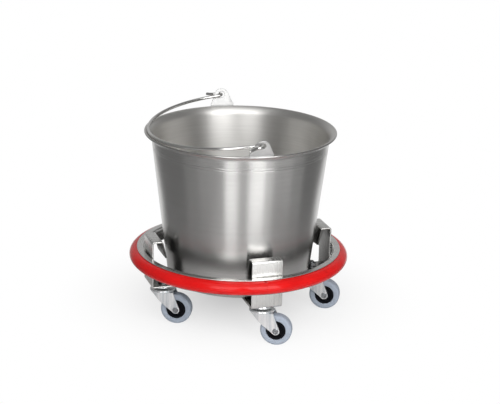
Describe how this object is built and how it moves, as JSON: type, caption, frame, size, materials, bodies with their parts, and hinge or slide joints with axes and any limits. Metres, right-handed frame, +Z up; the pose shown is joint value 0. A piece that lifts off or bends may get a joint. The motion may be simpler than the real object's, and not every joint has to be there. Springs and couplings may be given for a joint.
{
  "type": "surgical kick bucket",
  "caption": "Conical stainless bucket with a folding wire bail, standing in a round rolling cart with a bumper ring, bent-strip brackets and swivel casters; lifts out.",
  "frame": {"origin": "on the floor, under the bucket's axis", "axes": "+Z up along the bucket's axis; the cart's brackets stand on +X, -X, +Y and -Y, with the bail folded to -X"},
  "size_m": [0.351, 0.351, 0.3387],
  "materials": {
    "brushed_steel": "fine horizontal brushing",
    "polished_steel": "bright polished stainless",
    "red_vinyl": "glossy",
    "zinc_plate": "bright zinc plate",
    "grey_rubber": "matte",
    "black_plastic": "satin moulded"
  },
  "bodies": {
    "cart": {"ring_channel": "polished_steel", "bumper": "red_vinyl", "bracket_front": "polished_steel", "bracket_right": "polished_steel", "bracket_back": "polished_steel", "bracket_left": "polished_steel", "swivel_bolt_front": "zinc_plate", "spring_washer_front": "zinc_plate", "swivel_nut_front": "zinc_plate", "swivel_cap_front": "zinc_plate", "ball_ring_front": "polished_steel", "swivel_bolt_right": "zinc_plate", "spring_washer_right": "zinc_plate", "swivel_nut_right": "zinc_plate", "swivel_cap_right": "zinc_plate", "ball_ring_right": "polished_steel", "swivel_bolt_back": "zinc_plate", "spring_washer_back": "zinc_plate", "swivel_nut_back": "zinc_plate", "swivel_cap_back": "zinc_plate", "ball_ring_back": "polished_steel", "swivel_bolt_left": "zinc_plate", "spring_washer_left": "zinc_plate", "swivel_nut_left": "zinc_plate", "swivel_cap_left": "zinc_plate", "ball_ring_left": "polished_steel"},
    "caster_front": {"fork_front": "zinc_plate", "axle_bolt_front": "zinc_plate", "axle_nut_front": "zinc_plate", "wheel_bush_front": "zinc_plate"},
    "wheel_front": {"hub_front": "black_plastic", "tread_front": "grey_rubber"},
    "caster_right": {"fork_right": "zinc_plate", "axle_bolt_right": "zinc_plate", "axle_nut_right": "zinc_plate", "wheel_bush_right": "zinc_plate"},
    "wheel_right": {"hub_right": "black_plastic", "tread_right": "grey_rubber"},
    "caster_back": {"fork_back": "zinc_plate", "axle_bolt_back": "zinc_plate", "axle_nut_back": "zinc_plate", "wheel_bush_back": "zinc_plate"},
    "wheel_back": {"hub_back": "black_plastic", "tread_back": "grey_rubber"},
    "caster_left": {"fork_left": "zinc_plate", "axle_bolt_left": "zinc_plate", "axle_nut_left": "zinc_plate", "wheel_bush_left": "zinc_plate"},
    "wheel_left": {"hub_left": "black_plastic", "tread_left": "grey_rubber"},
    "bucket": {"bucket_shell": "brushed_steel", "ear_front": "brushed_steel", "ear_back": "brushed_steel"},
    "bail": {"bail": "polished_steel"}
  },
  "joints": [
    {"name": "swivel_front", "type": "hinge", "parent": "cart", "child": "caster_front", "pos_m": [0, -0.12648, 0.0605], "axis": [0, 0, 1], "continuous": true},
    {"name": "roll_front", "type": "hinge", "parent": "caster_front", "child": "wheel_front", "pos_m": [0.02112, -0.13678, 0.02469], "axis": [0.4384, 0.8988, 0], "continuous": true},
    {"name": "swivel_right", "type": "hinge", "parent": "cart", "child": "caster_right", "pos_m": [0.12648, 0, 0.0605], "axis": [0, 0, 1], "continuous": true},
    {"name": "roll_right", "type": "hinge", "parent": "caster_right", "child": "wheel_right", "pos_m": [0.1476, -0.0103, 0.02469], "axis": [0.4384, 0.8988, 0], "continuous": true},
    {"name": "swivel_back", "type": "hinge", "parent": "cart", "child": "caster_back", "pos_m": [0, 0.12648, 0.0605], "axis": [0, 0, 1], "continuous": true},
    {"name": "roll_back", "type": "hinge", "parent": "caster_back", "child": "wheel_back", "pos_m": [0.02112, 0.11618, 0.02469], "axis": [0.4384, 0.8988, 0], "continuous": true},
    {"name": "swivel_left", "type": "hinge", "parent": "cart", "child": "caster_left", "pos_m": [-0.12648, 0, 0.0605], "axis": [0, 0, 1], "continuous": true},
    {"name": "roll_left", "type": "hinge", "parent": "caster_left", "child": "wheel_left", "pos_m": [-0.10536, -0.0103, 0.02469], "axis": [0.4384, 0.8988, 0], "continuous": true},
    {"name": "bucket_lift", "type": "slide", "parent": "cart", "child": "bucket", "axis": [0, 0, 1], "range_m": [0, 0.12]},
    {"name": "bail_swing", "type": "hinge", "parent": "bucket", "child": "bail", "pos_m": [0, 0, 0.32884], "axis": [0.0941, 0.9956, 0], "range_deg": [0, 192.86]}
  ]
}
